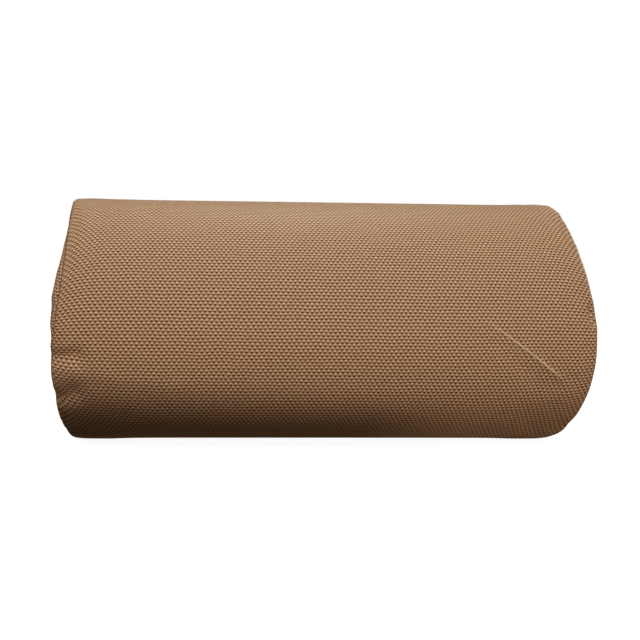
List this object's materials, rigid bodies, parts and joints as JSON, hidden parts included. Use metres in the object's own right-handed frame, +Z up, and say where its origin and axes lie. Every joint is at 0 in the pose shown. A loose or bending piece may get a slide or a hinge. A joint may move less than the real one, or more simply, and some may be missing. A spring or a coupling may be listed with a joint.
{
  "type": "bolster pillow",
  "caption": "Round bolster pillow with a woven mesh cover, crowned end panels, a foam and batting fill and a zipper along its back.",
  "frame": {"origin": "on the surface that the bolster lies on, under the middle of its bounding box", "axes": "+X along the bolster, to the right as seen from its front; -Y its front, +Y the back with the zipper; +Z up"},
  "size_m": [0.3192, 0.1551, 0.1496],
  "materials": {
    "mesh_cloth": "satin",
    "liner_cloth": "matte",
    "batting": "matte",
    "foam": "matte",
    "zipper_tape": "matte",
    "zipper_coil": "satin",
    "zipper_metal": "satin",
    "thread": "matte"
  },
  "bodies": {
    "pillow": {"foam_core": "foam", "batting_wrap": "batting", "batting_end_left": "batting", "batting_end_right": "batting", "liner_body": "liner_cloth", "liner_end_left": "liner_cloth", "liner_end_right": "liner_cloth", "cover_body": "mesh_cloth", "cover_end_left": "mesh_cloth", "cover_end_right": "mesh_cloth", "end_seam_thread_left": "thread", "end_seam_thread_right": "thread", "back_seam_thread_left": "thread", "back_seam_thread_right": "thread", "zipper_tape_upper": "zipper_tape", "zipper_tape_lower": "zipper_tape", "zipper_chain_upper": "zipper_coil", "zipper_chain_lower": "zipper_coil", "zipper_top_stop_upper": "zipper_metal", "zipper_top_stop_lower": "zipper_metal", "zipper_bottom_stop": "zipper_metal", "zipper_stitch_upper": "thread", "zipper_stitch_lower": "thread"},
    "slider": {"zipper_slider": "zipper_metal"},
    "pull": {"zipper_pull": "zipper_metal"}
  },
  "joints": [
    {"name": "slider_slide", "type": "slide", "parent": "pillow", "child": "slider", "axis": [1, 0, 0], "range_m": [0, 0.233]},
    {"name": "pull_hinge", "type": "hinge", "parent": "slider", "child": "pull", "pos_m": [-0.1166, 0.0769, 0.08434], "axis": [0, -0.1392, 0.9903], "range_deg": [0, 170]}
  ]
}
